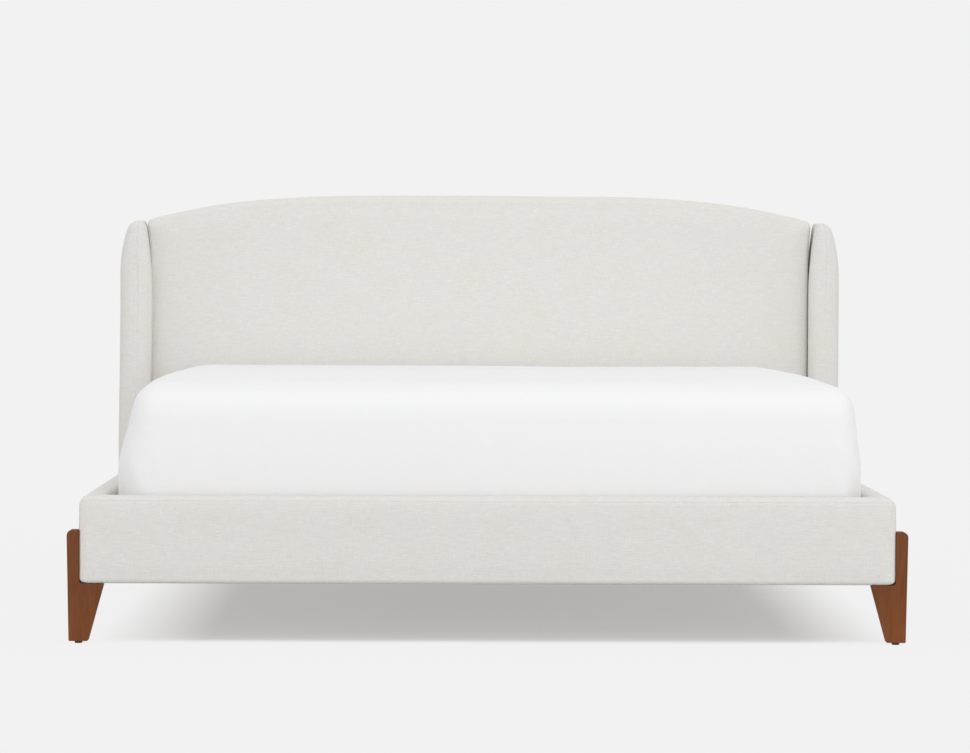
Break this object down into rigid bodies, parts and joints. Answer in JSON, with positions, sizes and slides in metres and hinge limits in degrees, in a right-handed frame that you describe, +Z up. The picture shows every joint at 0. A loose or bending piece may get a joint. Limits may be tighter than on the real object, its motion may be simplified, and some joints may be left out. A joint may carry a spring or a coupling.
{
  "type": "upholstered bed",
  "caption": "Upholstered bed with a gently arched wingback headboard, padded frame, bracket wood legs, slats and mattress.",
  "frame": {"origin": "on the floor under the middle of the bed's overall length and width", "axes": "+Z up, foot end faces -Y, headboard at +Y, +X to the right seen from the foot end"},
  "size_m": [2.296, 2.217, 1.201],
  "materials": {
    "upholstery_weave": "matte",
    "sheet_cotton": "matte",
    "mattress_ticking": "matte",
    "back_lining": "matte",
    "stained_hardwood": "satin",
    "frame_pine": "matte",
    "slat_birch": "satin",
    "beech_dowel": "matte",
    "plywood": "matte",
    "coated_steel": "satin",
    "zinc_steel": "satin",
    "dark_nylon": "matte",
    "webbing": "matte"
  },
  "bodies": {
    "bed_frame": {"beam_hangers": "coated_steel", "corner_bolts": "zinc_steel", "corner_brackets": "coated_steel", "footboard_core": "frame_pine", "footboard_pad": "upholstery_weave", "glide_inserts": "zinc_steel", "hanger_screws": "zinc_steel", "head_rail": "frame_pine", "headboard_back_cover": "back_lining", "headboard_bolts": "zinc_steel", "headboard_centre_stile": "frame_pine", "headboard_lower_rail": "frame_pine", "headboard_mounting_board": "frame_pine", "headboard_nuts": "zinc_steel", "headboard_pad": "upholstery_weave", "headboard_panel": "plywood", "headboard_stile_left": "frame_pine", "headboard_stile_right": "frame_pine", "headboard_upper_rail": "frame_pine", "ledger_screws": "zinc_steel", "leg_dowels": "beech_dowel", "leg_front_left": "stained_hardwood", "leg_front_right": "stained_hardwood", "leg_rear_left": "stained_hardwood", "leg_rear_right": "stained_hardwood", "leg_studs": "zinc_steel", "mid_beam_inner": "coated_steel", "mid_beam_outer": "coated_steel", "side_rail_core_left": "frame_pine", "side_rail_core_right": "frame_pine", "side_rail_pad_left": "upholstery_weave", "side_rail_pad_right": "upholstery_weave", "slat_01": "slat_birch", "slat_02": "slat_birch", "slat_03": "slat_birch", "slat_04": "slat_birch", "slat_05": "slat_birch", "slat_06": "slat_birch", "slat_07": "slat_birch", "slat_08": "slat_birch", "slat_09": "slat_birch", "slat_10": "slat_birch", "slat_11": "slat_birch", "slat_12": "slat_birch", "slat_13": "slat_birch", "slat_ledger_left": "frame_pine", "slat_ledger_right": "frame_pine", "slat_tapes": "webbing", "wing_bolts": "zinc_steel", "wing_core_left": "plywood", "wing_core_right": "plywood", "wing_pad_left": "upholstery_weave", "wing_pad_right": "upholstery_weave"},
    "mattress_unit": {"fitted_sheet": "sheet_cotton", "mattress": "mattress_ticking"},
    "glide_front_left": {"glide_front_left": "dark_nylon"},
    "glide_front_right": {"glide_front_right": "dark_nylon"},
    "glide_rear_left": {"glide_rear_left": "dark_nylon"},
    "glide_rear_right": {"glide_rear_right": "dark_nylon"}
  },
  "joints": [
    {"name": "mattress_lift", "type": "slide", "parent": "bed_frame", "child": "mattress_unit", "axis": [0, 0, 1], "range_m": [0, 0.9]},
    {"name": "glide_front_left_level", "type": "slide", "parent": "bed_frame", "child": "glide_front_left", "axis": [0, 0, -1], "range_m": [0, 0.01]},
    {"name": "glide_front_right_level", "type": "slide", "parent": "bed_frame", "child": "glide_front_right", "axis": [0, 0, -1], "range_m": [0, 0.01]},
    {"name": "glide_rear_left_level", "type": "slide", "parent": "bed_frame", "child": "glide_rear_left", "axis": [0, 0, -1], "range_m": [0, 0.01]},
    {"name": "glide_rear_right_level", "type": "slide", "parent": "bed_frame", "child": "glide_rear_right", "axis": [0, 0, -1], "range_m": [0, 0.01]}
  ]
}
